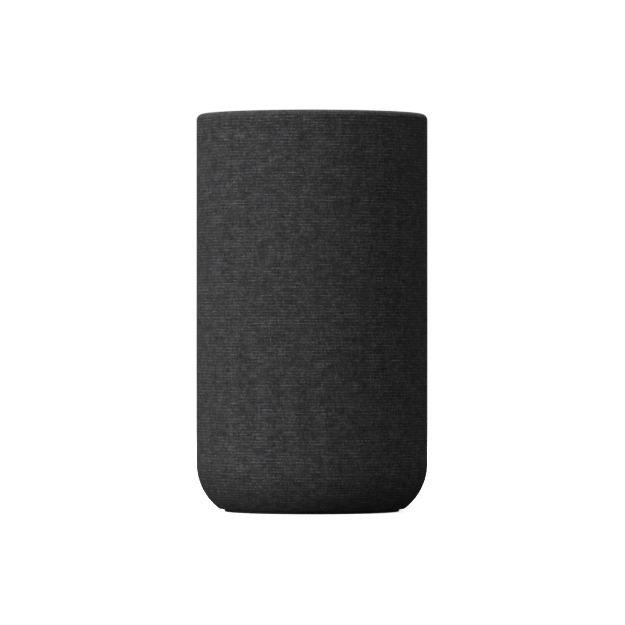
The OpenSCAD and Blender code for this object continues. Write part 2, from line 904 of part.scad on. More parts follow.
// Four dome switches with a round actuator, one under each button
module control_switches() {
    color("#b9bbbd") around(4, button_pitch_r) {
        difference() {
            block(-3.1, 3.1, -3.1, 3.1, control_top, control_top + 2);
            rod(1.9, control_top + 1.4, control_top + 3);
        }
        rod(1.7, control_top + 1.4, control_top + 2.2);
    }
}

module microphones() {
    color("#c9a84c") around(4, mic_pitch, 45) difference() {
        block(-1.9, 1.9, -1.5, 1.5, control_top, control_top + 1.1);
        rod(0.4, control_top + 0.6, control_top + 2);
    }
}

module status_leds() {
    color("#f2f0e6") around(led_count, 53, 15)
        block(-0.8, 0.8, -0.8, 0.8, control_top, control_top + 0.8);
}

// Translucent ring with chamfered upper edges and an outer skirt that stands on the board
module light_ring() {
    z0 = control_top + 2;
    z1 = panel_centre + panel_dish + 0.1;
    edge = 0.4;
    skirt_r = ring_out - 1.2;
    color("#c8ccd0") rotate_extrude()
        polygon([[ring_in, z0], [skirt_r, z0], [skirt_r, control_top], [ring_out, control_top],
                 [ring_out, z1 - edge], [ring_out - edge, z1], [ring_in + edge, z1],
                 [ring_in, z1 - edge]]);
}

function dish(r) = panel_centre + panel_dish * pow(r / panel_r, 2);

// Dished control panel with button holes, microphone holes and screw bosses
module top_panel() {
    steps = 13;
    edge = 0.4;
    color("#1e1e20") difference() {
        union() {
            rotate_extrude() polygon(concat(
                [[0, panel_under], [panel_r, panel_under], [panel_r, dish(panel_r) - edge]],
                [for (i = [steps : -1 : 0]) let (r = (panel_r - edge) * i / steps) [r, dish(r)]]
            ));
            around(4, panel_screw_pitch) rod(3, control_top, panel_under + eps);
        }
        around(4, button_pitch_r) rod(button_r + 0.25, panel_under - 1, body_h);
        around(4, mic_pitch, 45) rod(0.6, panel_under - 1, body_h);
        around(4, panel_screw_pitch) rod(case_pilot, control_top - 1, control_top + 4.6);
    }
}

module panel_screws() {
    color("#8a8c90") around(4, panel_screw_pitch)
        translate([0, 0, chassis_z]) mirror([0, 0, 1]) screw(panel_screw);
}

// ---------- buttons ----------

// Cap with a shallow dish and a retaining flange, and a stem over its switch; children are its engraved sign
module top_button(angle) {
    top = dish(button_pitch_r) + 0.4;
    edge = 0.4;
    sag = 0.45;
    color("#2b2b2e") rotate([0, 0, angle]) translate([button_pitch_r, 0, 0]) difference() {
        union() {
            rotate_extrude() polygon([[0, button_flange_z], [button_flange_r, button_flange_z],
                                      [button_flange_r, button_flange_z + 0.8],
                                      [button_r, button_flange_z + 0.8], [button_r, top - edge],
                                      [button_r - edge, top], [0, top]]);
            rod(1.6, control_top + 2.25 + button_travel, button_flange_z + eps);
        }
        translate([0, 0, top + button_dish_r - sag]) sphere(r = button_dish_r);
        translate([0, 0, top - sag - 0.35]) rotate([0, 0, -angle]) linear_extrude(2) children();
    }
}

module bar(w, h) {
    square([w, h], center = true);
}

module volume_up_button() top_button(0) {
    bar(4.4, 0.8);
    bar(0.8, 4.4);
}

module volume_down_button() top_button(180) bar(4.4, 0.8);

// A microphone with a stroke through it
module mic_mute_button() top_button(270) {
    translate([0, 0.7]) stadium_up(1.6, 3.2);
    translate([0, 0.3]) intersection() {
        difference() {
            circle(r = 2);
            circle(r = 1.5);
        }
        translate([-3, -3]) square([6, 3]);
    }
    translate([0, -2.2]) bar(0.5, 1.4);
    rotate([0, 0, 45]) bar(6.4, 0.5);
}

module stadium_up(w, h) {
    rotate([0, 0, 90]) stadium(h, w);
}

module action_button() top_button(90) difference() {
    circle(r = 2.2);
    circle(r = 1.5);
}

// ---------- wiring ----------

// Woofer and tweeter leads through the grommet down to the amplifier's socket
module speaker_leads() {
    color("#7a2626") for (side = [-1, 1]) {
        wire(at_x(side * lead_x[1], woofer_route), lead_r);
        wire(at_x(side * lead_x[0], tweeter_route), lead_r);
    }
}

// ---------- nodes ----------

fabric_sleeve();
grille_frame();
base_cap();
rubber_foot();
stand_insert();
base_tray();
case_screws();
power_board();
transformer();
bulk_capacitors();
heat_sink();
power_board_parts();
mains_inlet();
inlet_pins();
inlet_wires();
port_plate();
pairing_button();
port_board();
enclosure_body();
enclosure_gasket();
enclosure_lid();
cable_grommet();
woofer_gasket();
woofer_basket();
woofer_top_plate();
woofer_magnet();
woofer_yoke();
woofer_cone();
woofer_dust_cap();
woofer_voice_coil();
woofer_surround();
woofer_spider();
driver_screws();
tweeter_faceplate();
tweeter_motor();
tweeter_dome();
left_radiator_frame();
right_radiator_frame();
left_radiator_surround();
right_radiator_surround();
left_radiator_diaphragm();
right_radiator_diaphragm();
main_board();
main_board_parts();
top_chassis();
control_board();
control_switches();
microphones();
status_leds();
light_ring();
top_panel();
panel_screws();
volume_up_button();
volume_down_button();
mic_mute_button();
action_button();
speaker_leads();
board_ribbon();
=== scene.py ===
import math

import bpy
import numpy as np
from mathutils import Matrix, Vector


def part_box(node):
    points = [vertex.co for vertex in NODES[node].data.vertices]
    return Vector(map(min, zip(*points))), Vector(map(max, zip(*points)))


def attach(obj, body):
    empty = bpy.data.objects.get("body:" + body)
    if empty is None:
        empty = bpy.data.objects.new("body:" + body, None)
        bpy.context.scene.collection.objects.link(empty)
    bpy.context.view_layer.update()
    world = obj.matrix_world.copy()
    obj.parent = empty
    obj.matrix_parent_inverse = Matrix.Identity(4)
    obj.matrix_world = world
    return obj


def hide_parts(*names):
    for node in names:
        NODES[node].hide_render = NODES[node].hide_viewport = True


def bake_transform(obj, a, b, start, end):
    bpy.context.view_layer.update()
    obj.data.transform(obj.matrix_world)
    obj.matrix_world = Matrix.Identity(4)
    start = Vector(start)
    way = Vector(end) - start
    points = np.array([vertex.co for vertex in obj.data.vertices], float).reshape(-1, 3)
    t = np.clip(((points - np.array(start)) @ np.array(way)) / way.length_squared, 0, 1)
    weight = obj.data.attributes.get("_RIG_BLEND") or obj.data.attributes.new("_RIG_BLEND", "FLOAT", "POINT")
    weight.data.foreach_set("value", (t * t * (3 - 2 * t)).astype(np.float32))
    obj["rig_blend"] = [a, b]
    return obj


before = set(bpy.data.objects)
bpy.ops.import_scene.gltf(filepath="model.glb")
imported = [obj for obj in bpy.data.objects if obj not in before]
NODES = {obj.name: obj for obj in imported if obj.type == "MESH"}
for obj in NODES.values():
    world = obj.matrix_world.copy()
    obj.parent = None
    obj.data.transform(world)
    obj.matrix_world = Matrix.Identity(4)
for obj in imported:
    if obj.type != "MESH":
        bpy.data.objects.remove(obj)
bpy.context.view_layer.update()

SCENE = bpy.context.scene
COLLECTION = SCENE.collection
MM = 0.001

# The sleeve's outline, in millimetres. Its size and the port's come from their CAD solids
sleeve_lo, sleeve_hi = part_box("fabric_sleeve")
plate_lo, plate_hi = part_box("port_plate")
BODY_R = round((sleeve_hi.y - sleeve_lo.y) / 2, 4) / MM
BODY_H = sleeve_hi.z / MM
FOOT_H = sleeve_lo.z / MM
CORNER_R = 30.0
CORNER_X = BODY_R - CORNER_R
CORNER_Z = 25.5
RIM_R = 3.2
RIM_INNER_R = 1.2
LIP_R = BODY_R - 4.5
HEM_R = 47.3
RECESS_DEPTH = 6.6
CLOTH_T = 0.6
PORT_Z = (plate_lo.z + plate_hi.z) / 2 / MM
PORT_W = (plate_hi.x - plate_lo.x) / MM + 0.5
PORT_H = (plate_hi.z - plate_lo.z) / MM + 0.5
HEM_GAP = 0.05
HEM_HALF_T = 0.42
HEM_HALF_W = 0.48
YARN_PITCH = 2 * math.pi * BODY_R / 440
PICK_PITCH = 1.61 / 3

# ---------------------------------------------------------------- node graphs


class Graph:
    """A material's node tree, built from sockets and plain numbers."""

    def __init__(self, name):
        self.material = bpy.data.materials.new(name)
        self.material.use_nodes = True
        self.tree = self.material.node_tree
        self.tree.nodes.clear()
        self.out = self.add("ShaderNodeOutputMaterial")
        self.bsdf = self.add("ShaderNodeBsdfPrincipled")
        self.link(self.bsdf.outputs[0], self.out.inputs["Surface"])

    def add(self, kind, **settings):
        node = self.tree.nodes.new(kind)
        for key, value in settings.items():
            setattr(node, key, value)
        return node

    def link(self, value, socket):
        if isinstance(value, bpy.types.NodeSocket):
            self.tree.links.new(value, socket)
        else:
            socket.default_value = value

    def math(self, operation, *values):
        node = self.add("ShaderNodeMath", operation=operation)
        for i, value in enumerate(values):
            self.link(value, node.inputs[i])
        return node.outputs[0]

    def times(self, a, b):
        return self.math("MULTIPLY", a, b)

    def smooth(self, value, low, high):
        """0 below low and 1 above high, with a soft step between them."""
        node = self.add("ShaderNodeMapRange", interpolation_type="SMOOTHSTEP")
        self.link(value, node.inputs[0])
        node.inputs[1].default_value = low
        node.inputs[2].default_value = high
        return node.outputs[0]

    def remap(self, value, low, high, to_low, to_high):
        node = self.add("ShaderNodeMapRange")
        for i, v in enumerate((value, low, high, to_low, to_high)):
            self.link(v, node.inputs[i])
        return node.outputs[0]

    def mix(self, factor, a, b):
        node = self.add("ShaderNodeMix", data_type="FLOAT")
        for i, v in zip((0, 2, 3), (factor, a, b)):
            self.link(v, node.inputs[i])
        return node.outputs[0]

    def blend(self, factor, a, b, how="MIX"):
        """Two colours mixed."""
        node = self.add("ShaderNodeMix", data_type="RGBA", blend_type=how)
        for i, v in zip((0, 6, 7), (factor, a, b)):
            self.link(v, node.inputs[i])
        return node.outputs[2]

    def ramp(self, value, *stops):
        node = self.add("ShaderNodeValToRGB")
        while len(node.color_ramp.elements) < len(stops):
            node.color_ramp.elements.new(0.5)
        for element, (place, colour) in zip(node.color_ramp.elements, stops):
            element.position = place
            element.color = grey(colour)
        self.link(value, node.inputs[0])
        return node.outputs[0]

    def vector(self, x=0.0, y=0.0, z=0.0):
        node = self.add("ShaderNodeCombineXYZ")
        for i, v in enumerate((x, y, z)):
            self.link(v, node.inputs[i])
        return node.outputs[0]

    def split(self, vector):
        node = self.add("ShaderNodeSeparateXYZ")
        self.link(vector, node.inputs[0])
        return node.outputs

    def place(self, scale=(1, 1, 1)):
        """The row frame's coordinates in millimetres, scaled."""
        node = self.add("ShaderNodeMapping")
        node.inputs["Scale"].default_value = [s / MM for s in scale]
        self.link(self.add("ShaderNodeTexCoord").outputs["Object"], node.inputs[0])
        return node.outputs[0]

    def noise(self, vector, scale, detail=2.0, rough=0.5):
        node = self.add("ShaderNodeTexNoise")
        self.link(vector, node.inputs["Vector"])
        node.inputs["Scale"].default_value = scale
        node.inputs["Detail"].default_value = detail
        node.inputs["Roughness"].default_value = rough
        return node.outputs["Fac"]

    def white(self, vector):
        node = self.add("ShaderNodeTexWhiteNoise", noise_dimensions="3D")
        self.link(vector, node.inputs["Vector"])
        return node.outputs["Value"]

    def bump(self, height, distance_mm, strength=1.0):
        node = self.add("ShaderNodeBump")
        node.inputs["Strength"].default_value = strength
        node.inputs["Distance"].default_value = distance_mm * MM
        self.link(height, node.inputs["Height"])
        return node.outputs[0]

    def finish(self, colour, rough, normal=None, metal=0.0, **fixed):
        self.link(colour, self.bsdf.inputs["Base Color"])
        self.link(rough, self.bsdf.inputs["Roughness"])
        self.bsdf.inputs["Metallic"].default_value = metal
        if normal is not None:
            self.link(normal, self.bsdf.inputs["Normal"])
        for name, value in fixed.items():
            self.bsdf.inputs[name.replace("_", " ")].default_value = value
        return self.material


def grey(value):
    if isinstance(value, (int, float)):
        return (value, value, value, 1.0)
    return (*value[:3], 1.0)


def scaled(colour, k):
    return tuple(min(1.0, c * k) for c in grey(colour)[:3])


# ---------------------------------------------------------------- materials


def cloth(name, base, pitch_u, pitch_v, seam=False):
    """Heathered plain weave: in the Weave UV map, in metres, u runs along the weft and v along the warp."""
    g = Graph(name)
    uv = g.add("ShaderNodeUVMap", uv_map="Weave")
    u, v, _ = g.split(uv.outputs[0])
    a = g.math("DIVIDE", u, pitch_u * MM)
    b = g.math("DIVIDE", v, pitch_v * MM)

    # The yarns wander a little from their straight lines
    drift = g.noise(g.vector(g.times(a, 0.09), g.times(b, 0.31), 1.0), 1.0, 1.0)
    sway = g.noise(g.vector(g.times(a, 0.03), g.times(b, 0.12), 2.0), 1.0, 1.0)
    a = g.math("MULTIPLY_ADD", drift, 2.6, a)
    b = g.math("MULTIPLY_ADD", sway, 2.2, b)
    ia, ib = g.math("FLOOR", a), g.math("FLOOR", b)
    odd = g.math("MODULO", g.math("ADD", ia, ib), 2.0)
    across, along = (g.math("SINE", g.times(g.math("FRACT", x), math.pi)) for x in (a, b))
    weft = g.times(along, g.math("MULTIPLY_ADD", across, 0.45, 0.55))
    warp = g.times(across, g.math("MULTIPLY_ADD", along, 0.45, 0.55))
    height = g.mix(odd, warp, weft)

    # Each crossing has its own shade, a yarn keeps one for a few crossings, and every third pick is lighter
    spot = g.white(g.vector(ia, ib, 3.0))
    streak = g.noise(g.vector(g.times(a, 0.16), g.times(ib, 1.7), 5.0), 1.0, 1.0)
    warp_run = g.noise(g.vector(g.times(ia, 0.8), g.times(b, 0.12), 9.0), 1.0, 1.0)
    run = g.remap(g.mix(odd, warp_run, streak), 0.28, 0.72, 0.0, 1.0)
    light_pick = g.math("COMPARE", g.math("MODULO", ib, 3.0), 0.0, 0.5)
    slub = g.noise(g.vector(g.times(a, 0.22), g.times(b, 0.006), 4.0), 1.0, 2.0)
    cloud = g.noise(g.place((1, 1, 1.6)), 0.13, 3.0)
    fibre = g.noise(g.place(), 6.0, 3.0, 0.7)
    tone = g.math("MULTIPLY_ADD", spot, 0.27, g.math("MULTIPLY_ADD", run, 0.35, 0.14))
    tone = g.math("ADD", tone, g.times(light_pick, g.math("MULTIPLY_ADD", streak, 0.24, 0.02)))
    for pattern, amount, offset in ((slub, 0.18, -0.09), (cloud, 0.30, -0.13), (fibre, 0.24, -0.12)):
        tone = g.math("ADD", tone, g.math("MULTIPLY_ADD", pattern, amount, offset))
    shades = ((0.18, 0.22), (0.46, 0.72), (0.66, 1.30), (0.90, 2.60))
    colour = g.ramp(tone, *((stop, scaled(base, shade)) for stop, shade in shades))

    # Gaps between the yarns get painted shade, and the yarns' tints run from yellowish to bluish
    gap_shade = g.ramp(height, (0.10, 0.30), (0.62, 1.0))
    colour = g.blend(1.0, colour, gap_shade, "MULTIPLY")
    tint = g.blend(g.white(g.vector(ia, ib, 8.0)), grey((0.985, 1.035, 0.90)), grey((1.03, 0.97, 1.20)))
    colour = g.blend(1.0, colour, tint, "MULTIPLY")
    relief = g.math("ADD", height, g.times(fibre, 0.35))
    if seam:
        # A stitched groove down the rear centre, darkened with painted shade, with a low puff on each side
        x, y, _ = g.split(g.place())
        off_centre = g.math("ABSOLUTE", x)
        behind = g.smooth(y, 0.0, 1.0)
        groove_and_shade = g.times(g.smooth(off_centre, 0.5, 0.15), behind)
        puff = g.smooth(g.math("ABSOLUTE", g.math("SUBTRACT", off_centre, 1.3)), 1.0, 0.2)
        colour = g.blend(g.times(groove_and_shade, 0.8), colour, grey(0.004))
        relief = g.math("SUBTRACT", relief, g.times(groove_and_shade, 2.2))
        relief = g.math("ADD", relief, g.times(g.times(puff, behind), 0.9))
    rough = g.remap(fibre, 0.2, 0.8, 0.82, 0.96)
    return g.finish(colour, rough, g.bump(relief, 0.14, 0.75), Specular_IOR_Level=0.12)


def moulded(name, base, rough=0.55, grain=3.0, depth=0.012, spec=0.5, wear=0.25, **fixed):
    """Moulded plastic with a fine spark-eroded texture, faint flow marks and uneven gloss."""
    g = Graph(name)
    fine = g.noise(g.place(), grain, 4.0, 0.6)
    broad = g.noise(g.place(), 0.06, 3.0)
    dust = g.noise(g.place((1, 1, 0.7)), 0.9, 5.0, 0.7)
    colour = g.ramp(broad, (0.25, scaled(base, 0.86)), (0.75, scaled(base, 1.14)))
    scuff = g.times(g.smooth(dust, 0.55, 0.80), wear)
    colour = g.blend(scuff, colour, grey(scaled(base, 1.9)))
    gloss = g.remap(broad, 0.2, 0.8, rough - 0.05, rough + 0.05)
    finish = g.math("ADD", gloss, g.times(dust, 0.08))
    return g.finish(colour, finish, g.bump(fine, depth), Specular_IOR_Level=spec, **fixed)


def rubber(name, base, rough=0.8):
    """Moulded rubber: matte, slightly pitted, with a dusty bloom."""
    g = Graph(name)
    pits = g.noise(g.place(), 2.2, 5.0, 0.65)
    bloom = g.noise(g.place(), 0.22, 4.0, 0.6)
    colour = g.ramp(bloom, (0.30, scaled(base, 0.8)), (0.62, scaled(base, 1.2)), (0.85, scaled(base, 2.1)))
    finish = g.remap(bloom, 0.2, 0.8, rough - 0.08, rough + 0.1)
    return g.finish(colour, finish, g.bump(pits, 0.02), Specular_IOR_Level=0.35)


def foam(name, base):
    """Closed-cell foam: small round cells in the surface."""
    g = Graph(name)
    cells = g.add("ShaderNodeTexVoronoi", feature="F1")
    g.link(g.place(), cells.inputs["Vector"])
    cells.inputs["Scale"].default_value = 2.4
    height = cells.outputs["Distance"]
    # The cells' hollows are darkened: painted shade
    colour = g.ramp(height, (0.05, scaled(base, 0.4)), (0.5, base))
    return g.finish(colour, 0.92, g.bump(height, 0.12), Specular_IOR_Level=0.2)


def metal(name, base, rough=0.35, brush=(1, 1, 8), depth=0.004, tint=None):
    """Drawn or plated metal: fine scratches along one direction and cloudy plating."""
    g = Graph(name)
    lines = g.noise(g.place(brush), 1.4, 4.0, 0.65)
    cloud = g.noise(g.place(), 0.18, 3.0)
    colour = g.ramp(cloud, (0.3, scaled(base, 0.82)), (0.7, scaled(tint or base, 1.12)))
    colour = g.blend(0.35, colour, g.ramp(lines, (0.3, 0.55), (0.7, 1.0)), "MULTIPLY")
    finish = g.remap(lines, 0.25, 0.75, rough - 0.08, rough + 0.12)
    return g.finish(colour, finish, g.bump(lines, depth), metal=1.0)


def circuit(name, base, track):
    """Solder mask over copper: tracks in two directions, round pads and the glass weave."""
    g = Graph(name)
    x, y, _ = g.split(g.place())

    def tracks(p, q, pitch, seed):
        lane = g.math("FLOOR", g.math("DIVIDE", q, pitch))
        part = g.math("FRACT", g.math("DIVIDE", q, pitch))
        run = g.noise(g.vector(g.times(p, 0.07), lane, seed), 1.0, 0.0)
        line = g.times(g.smooth(part, 0.22, 0.34), g.smooth(part, 0.78, 0.66))
        return g.times(line, g.smooth(run, 0.50, 0.54))

    lines = g.math("MAXIMUM", tracks(x, y, 1.3, 2.0), tracks(y, x, 1.7, 7.0))
    pads = g.add("ShaderNodeTexVoronoi", feature="F1")
    g.link(g.vector(x, y, 0.0), pads.inputs["Vector"])
    pads.inputs["Scale"].default_value = 0.28
    pad = g.smooth(pads.outputs["Distance"], 0.16, 0.12)
    hole_shade = g.smooth(pads.outputs["Distance"], 0.055, 0.035)
    glass = g.noise(g.place((1, 1, 1)), 1.6, 2.0)
    colour = g.blend(g.times(lines, 0.8), grey(base), grey(track))
    colour = g.blend(0.18, colour, g.ramp(glass, (0.3, 0.4), (0.7, 1.0)), "MULTIPLY")
    colour = g.blend(pad, colour, (0.62, 0.50, 0.26, 1.0))
    # The pads' drilled holes are painted near-black: painted shade
    colour = g.blend(hole_shade, colour, grey(0.01))
    relief = g.math("ADD", g.times(lines, 0.6), pad)
    finish = g.mix(pad, 0.34, 0.28)
    return g.finish(colour, finish, g.bump(relief, 0.03), Coat_Weight=0.25, Coat_Roughness=0.2)


def wound(name, base, turn_gap_shade, pitch, axis):
    """Enamelled wire in close turns: axis is the direction the turns advance in."""
    g = Graph(name)
    coordinate = g.split(g.place())[axis]
    turn = g.math("SINE", g.times(g.math("FRACT", g.math("DIVIDE", coordinate, pitch)), math.pi))
    shade = g.noise(g.place(), 0.8, 3.0)
    wire = g.ramp(shade, (0.3, scaled(base, 0.8)), (0.7, scaled(base, 1.15)))
    # The gaps between the turns are painted dark: painted shade
    colour = g.blend(g.smooth(turn, 0.15, 0.6), grey(turn_gap_shade), wire)
    return g.finish(colour, 0.3, g.bump(turn, 0.06), metal=0.85)


def pulp(name, base):
    """Pressed paper pulp with loose fibres."""
    g = Graph(name)
    fibres = g.noise(g.place((3, 1, 1)), 1.3, 6.0, 0.75)
    crossing = g.noise(g.place((1, 1, 3)), 1.1, 6.0, 0.75)
    weave = g.math("MAXIMUM", fibres, crossing)
    colour = g.ramp(weave, (0.38, scaled(base, 0.7)), (0.60, base), (0.78, scaled(base, 2.4)))
    return g.finish(colour, 0.78, g.bump(weave, 0.05), Specular_IOR_Level=0.3)


def printed_film(name, base, line):
    """Flat cable: conductors 1 mm apart under a film, running along the strip."""
    g = Graph(name)
    _, y, _ = g.split(g.place())
    wave = g.math("FRACT", y)
    strip = g.times(g.smooth(wave, 0.15, 0.28), g.smooth(wave, 0.85, 0.72))
    haze = g.noise(g.place(), 0.3, 3.0)
    colour = g.blend(g.times(strip, 0.75), grey(base), grey(line))
    colour = g.blend(0.2, colour, g.ramp(haze, (0.3, 0.6), (0.7, 1.0)), "MULTIPLY")
    return g.finish(colour, 0.38, g.bump(strip, 0.03), Coat_Weight=0.3, Coat_Roughness=0.25)


def ceramic(name, base):
    """Sintered ferrite: near-black, with fine grey grain and chipped pits."""
    g = Graph(name)
    grain = g.noise(g.place(), 3.0, 6.0, 0.8)
    chips = g.noise(g.place(), 0.7, 4.0, 0.7)
    colour = g.ramp(grain, (0.35, scaled(base, 0.7)), (0.7, scaled(base, 1.7)))
    relief = g.math("ADD", grain, g.times(g.smooth(chips, 0.66, 0.74), -2.0))
    return g.finish(colour, 0.6, g.bump(relief, 0.03), Specular_IOR_Level=0.5)


def diffuser(name, base):
    """Frosted light guide: milky plastic that scatters light a little below its surface."""
    g = Graph(name)
    frost = g.noise(g.place(), 4.0, 4.0, 0.7)
    depth = g.noise(g.place(), 0.12, 2.0)
    colour = g.ramp(depth, (0.3, scaled(base, 0.9)), (0.7, scaled(base, 1.05)))
    return g.finish(
        colour,
        g.remap(frost, 0.2, 0.8, 0.38, 0.52),
        g.bump(frost, 0.008),
        Subsurface_Weight=0.25,
        Subsurface_Radius=(0.0015, 0.0015, 0.0015),
        Subsurface_Scale=1.0,
    )


def cotton(name, base):
    """Resin-dipped open-weave cotton."""
    g = Graph(name)
    x, _, z = g.split(g.place())
    grid = g.times(g.math("SINE", g.times(x, 7.0)), g.math("SINE", g.times(z, 7.0)))
    shade = g.noise(g.place(), 0.5, 3.0)
    colour = g.ramp(shade, (0.3, scaled(base, 0.75)), (0.7, scaled(base, 1.15)))
    # The weave's hollows are darkened: painted shade
    colour = g.blend(0.5, colour, g.ramp(grid, (0.1, 0.55), (0.8, 1.0)), "MULTIPLY")
    return g.finish(colour, 0.66, g.bump(grid, 0.08), Specular_IOR_Level=0.3)


M = {
    "cloth": cloth("cloth_charcoal", (0.0412, 0.0414, 0.0410), YARN_PITCH, PICK_PITCH, seam=True),
    "hem": cloth("cloth_hem", (0.034, 0.034, 0.035), 0.62, 0.56),
    "frame": moulded("frame_plastic", (0.012, 0.012, 0.013), 0.6),
    "base": moulded("base_plastic", (0.011, 0.011, 0.0112), 0.62, 2.2, 0.02),
    "inner": moulded("inner_plastic", (0.020, 0.020, 0.021), 0.5, 2.6, 0.014),
    "panel": moulded("panel_plastic", (0.0135, 0.0135, 0.014), 0.60, 4.0, 0.014, spec=0.3, wear=0.12),
    "port": moulded("port_plastic", (0.012, 0.012, 0.0125), 0.58, 2.4, 0.018),
    "inlet": moulded("inlet_plastic", (0.010, 0.010, 0.010), 0.42, 2.8, 0.010),
    "button": moulded("button_plastic", (0.034, 0.034, 0.036), 0.5, 3.2, 0.012),
    "icon": moulded("icon_paint", (0.42, 0.42, 0.43), 0.5, 5.0, 0.006, wear=0.4),
    "chip": moulded("chip_plastic", (0.016, 0.016, 0.017), 0.42, 4.5, 0.008),
    "socket": moulded("socket_plastic", (0.62, 0.60, 0.54), 0.45, 3.0, 0.008, wear=0.1),
    "switch": moulded("switch_plastic", (0.05, 0.05, 0.052), 0.4, 3.0, 0.008),
    "bobbin": moulded("bobbin_plastic", (0.018, 0.017, 0.016), 0.5, 2.5, 0.012),
    "tape": moulded("winding_tape", (0.58, 0.42, 0.06), 0.35, 1.2, 0.02, wear=0.5, Coat_Weight=0.3),
    "sleeve": moulded("can_sleeve", (0.020, 0.026, 0.045), 0.28, 1.5, 0.006, wear=0.1, Coat_Weight=0.4),
    "led": moulded("led_cap", (0.80, 0.78, 0.62), 0.2, 2.0, 0.004, wear=0.1, Coat_Weight=0.5),
    "red": moulded("lead_red", (0.24, 0.018, 0.014), 0.4, 2.0, 0.008),
    "black": moulded("lead_black", (0.012, 0.012, 0.013), 0.4, 2.0, 0.008),
    "blue": moulded("lead_blue", (0.016, 0.045, 0.17), 0.4, 2.0, 0.008),
    "brown": moulded("lead_brown", (0.10, 0.042, 0.018), 0.4, 2.0, 0.008),
    "basket": moulded("basket_coat", (0.026, 0.026, 0.028), 0.48, 1.6, 0.03, wear=0.15),
    "foot": rubber("foot_rubber", (0.010, 0.010, 0.010)),
    "grommet": rubber("grommet_rubber", (0.016, 0.016, 0.016)),
    "surround": rubber("surround_rubber", (0.013, 0.013, 0.0135), 0.6),
    "foam": foam("gasket_foam", (0.055, 0.055, 0.055)),
    "zinc": metal("screw_zinc", (0.52, 0.52, 0.54), 0.34, (2, 2, 2), 0.006, (0.56, 0.54, 0.47)),
    "steel": metal("motor_steel", (0.50, 0.50, 0.51), 0.32, (1, 6, 1)),
    "tin": metal("shield_tin", (0.62, 0.63, 0.64), 0.36, (6, 1, 1)),
    "alloy": metal("sink_aluminium", (0.74, 0.74, 0.75), 0.42, (1, 1, 7)),
    "anodised": metal("radiator_alloy", (0.10, 0.105, 0.11), 0.45, (1, 5, 1)),
    "brass": metal("insert_brass", (0.72, 0.50, 0.20), 0.30, (1, 1, 6), 0.01),
    "plated": metal("pin_plating", (0.80, 0.76, 0.66), 0.22, (1, 7, 1)),
    "gold": metal("microphone_can", (0.80, 0.62, 0.30), 0.3, (3, 3, 1)),
    "board": circuit("board_mask", (0.012, 0.075, 0.042), (0.030, 0.130, 0.070)),
    "core": ceramic("transformer_core", (0.035, 0.034, 0.034)),
    "ferrite": ceramic("magnet_ferrite", (0.030, 0.029, 0.029)),
    "copper": wound("choke_winding", (0.62, 0.26, 0.10), 0.02, 1.0, 0),
    "coil": wound("coil_winding", (0.66, 0.30, 0.12), 0.03, 0.4, 1),
    "former": moulded("coil_former", (0.34, 0.23, 0.10), 0.35, 2.0, 0.006, wear=0.1),
    "cone": pulp("cone_pulp", (0.030, 0.032, 0.035)),
    "cap": pulp("cap_pulp", (0.020, 0.022, 0.024)),
    "silk": pulp("dome_silk", (0.022, 0.022, 0.024)),
    "ribbon": printed_film("ribbon_film", (0.62, 0.58, 0.47), (0.42, 0.38, 0.30)),
    "ring": diffuser("ring_frost", (0.30, 0.31, 0.32)),
    "spider": cotton("spider_cotton", (0.52, 0.34, 0.12)),
}

# ---------------------------------------------------------------- materials of the CAD nodes

MATERIAL_OF = {
    "grille_frame": "frame",
    "base_cap": "base",
    "rubber_foot": "foot",
    "stand_insert": "brass",
    "base_tray": "inner",
    "case_screws": "zinc",
    "power_board": "board",
    "transformer": "core",
    "bulk_capacitors": "sleeve",
    "heat_sink": "alloy",
    "power_board_parts": "chip",
    "mains_inlet": "inlet",
    "inlet_pins": "plated",
    "port_plate": "port",
    "pairing_button": "button",
    "port_board": "board",
    "enclosure_body": "inner",
    "enclosure_gasket": "foam",
    "enclosure_lid": "inner",
    "cable_grommet": "grommet",
    "woofer_gasket": "foam",
    "woofer_basket": "basket",
    "woofer_top_plate": "steel",
    "woofer_magnet": "ferrite",
    "woofer_yoke": "steel",
    "woofer_cone": "cone",
    "woofer_dust_cap": "cap",
    "woofer_voice_coil": "former",
    "driver_screws": "zinc",
    "tweeter_faceplate": "inner",
    "tweeter_motor": "steel",
    "tweeter_dome": "silk",
    "left_radiator_frame": "inner",
    "right_radiator_frame": "inner",
    "left_radiator_diaphragm": "anodised",
    "right_radiator_diaphragm": "anodised",
    "main_board": "board",
    "main_board_parts": "tin",
    "top_chassis": "inner",
    "control_board": "board",
    "control_switches": "switch",
    "microphones": "gold",
    "status_leds": "led",
    "light_ring": "ring",
    "top_panel": "panel",
    "panel_screws": "zinc",
    "volume_up_button": "button",
    "volume_down_button": "button",
    "mic_mute_button": "button",
    "action_button": "button",
    "board_ribbon": "ribbon",
}


def paint(node, key, rule=None, *others):
    """Gives a CAD node its material, and the faces that rule picks one of the others."""
    mesh = NODES[node].data
    mesh.materials.clear()
    for k in (key, *others):
        mesh.materials.append(M[k])
    if rule is None:
        return
    for face in mesh.polygons:
        face.material_index = rule(face.center / MM, face.normal)


for node, key in MATERIAL_OF.items():
    paint(node, key)

power_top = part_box("power_board")[1].z / MM
core_lo, core_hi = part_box("transformer")
core_mid = (core_lo + core_hi) / 2 / MM
coil_lo, coil_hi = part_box("woofer_voice_coil")
coil_axis = (coil_lo + coil_hi) / 2 / MM
CHOKE_AT = (-20, 16)
CHOKE_R = 8
SYMBOL_DEPTH = 0.8
SYMBOL_R = 4


# Each rule takes a face's centre in millimetres and its normal, and returns a material slot


def transformer_rule(c, n):
    """The bobbin's foot, and the tape on the winding's two long sides."""
    if c.z < core_lo.z / MM + 2.1:
        return 1
    winding = abs(c.x - core_mid.x) < 8.9 and 6.1 < c.z - power_top < 19.9
    return 2 if winding and abs(c.y - core_mid.y) > 6.01 else 0


